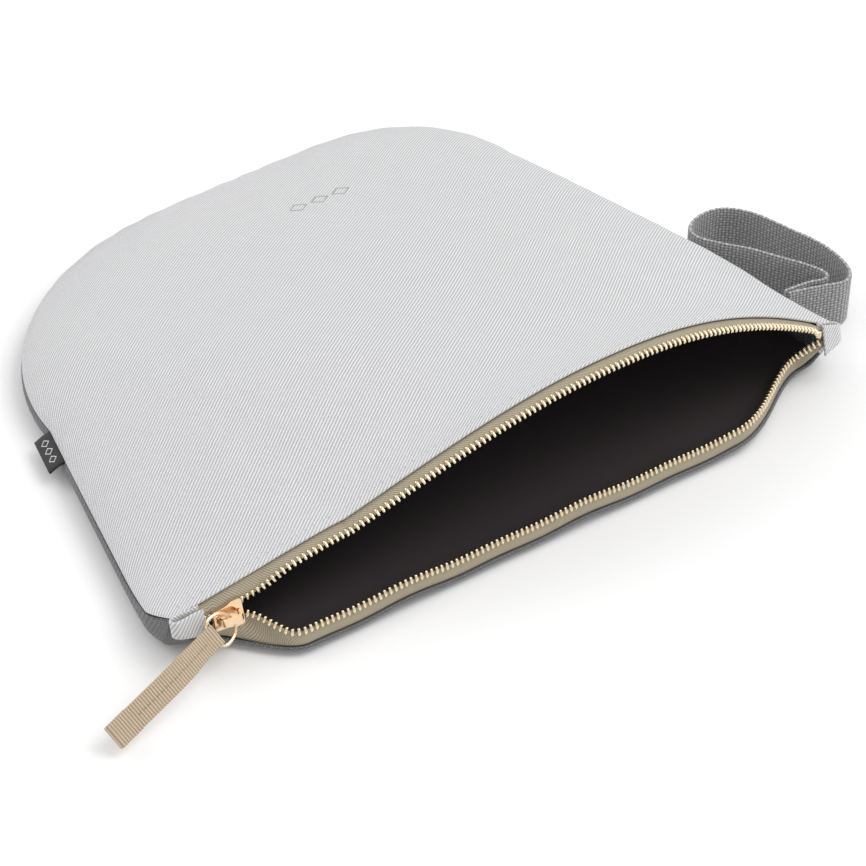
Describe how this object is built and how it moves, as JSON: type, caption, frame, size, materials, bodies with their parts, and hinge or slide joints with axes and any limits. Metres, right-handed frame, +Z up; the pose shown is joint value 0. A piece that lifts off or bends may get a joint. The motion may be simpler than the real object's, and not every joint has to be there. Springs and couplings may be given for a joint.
{
  "type": "makeup bag",
  "caption": "Flat padded makeup bag lying open: light front panel, darker back panel, metal zip with slider, ring and ribbon pull, side label and webbing wrist loop.",
  "frame": {"origin": "on the table, under the middle of the flat underside", "axes": "+X along the zip towards the wrist loop, +Y from the mouth to the bottom of the bag, +Z up from the table"},
  "size_m": [0.3377, 0.242, 0.053],
  "materials": {
    "front_fabric": "matte fine twill weave",
    "back_fabric": "matte plain weave",
    "foam": "needled wadding",
    "lining": "smooth woven lining",
    "zip_tape": "herringbone woven tape",
    "gold_metal": "polished pale gold plating",
    "ribbon": "ribbed grosgrain",
    "webbing": "coarse woven webbing",
    "label": "damask woven label"
  },
  "bodies": {
    "bag": {"front_shell": "front_fabric", "front_foam": "foam", "front_lining": "lining", "back_shell": "back_fabric", "back_foam": "foam", "back_lining": "lining", "zip_tape_front": "zip_tape", "zip_tape_back": "zip_tape", "zip_teeth_front": "gold_metal", "zip_teeth_back": "gold_metal", "zip_top_stop_front": "gold_metal", "zip_top_stop_back": "gold_metal", "zip_bottom_stop": "gold_metal", "end_tab_left": "front_fabric", "end_tab_right": "front_fabric"},
    "slider": {"slider_body": "gold_metal", "slider_crown": "gold_metal"},
    "ring": {"pull_ring": "gold_metal"},
    "ribbon": {"pull_ribbon": "ribbon"},
    "loop": {"wrist_loop": "webbing"},
    "label": {"side_label": "label"}
  },
  "joints": [
    {"name": "zip_slide", "type": "slide", "parent": "bag", "child": "slider", "axis": [0.9998, -0.0015, 0.0195], "range_m": [0, 0.235], "deforming": ["zip_tape_front", "zip_tape_back", "zip_teeth_front", "zip_teeth_back"]},
    {"name": "ring_swing", "type": "hinge", "parent": "slider", "child": "ring", "pos_m": [-0.1175, -0.1133, 0.01562], "axis": [0, 0.2419, 0.9703], "range_deg": [0, 85]},
    {"name": "ribbon_swing", "type": "hinge", "parent": "ring", "child": "ribbon", "pos_m": [-0.12556, -0.11597, 0.01427], "axis": [0.3244, -0.6197, -0.7147], "range_deg": [-75, 0]},
    {"name": "loop_swing", "type": "hinge", "parent": "bag", "child": "loop", "pos_m": [0.13732, -0.082, 0.0103], "axis": [0, 0, -1], "range_deg": [0, 50]},
    {"name": "label_fold", "type": "hinge", "parent": "bag", "child": "label", "pos_m": [-0.11923, 0.00077, 0.0085], "axis": [0.1944, 0.9809, 0], "range_deg": [-5, 45]}
  ]
}
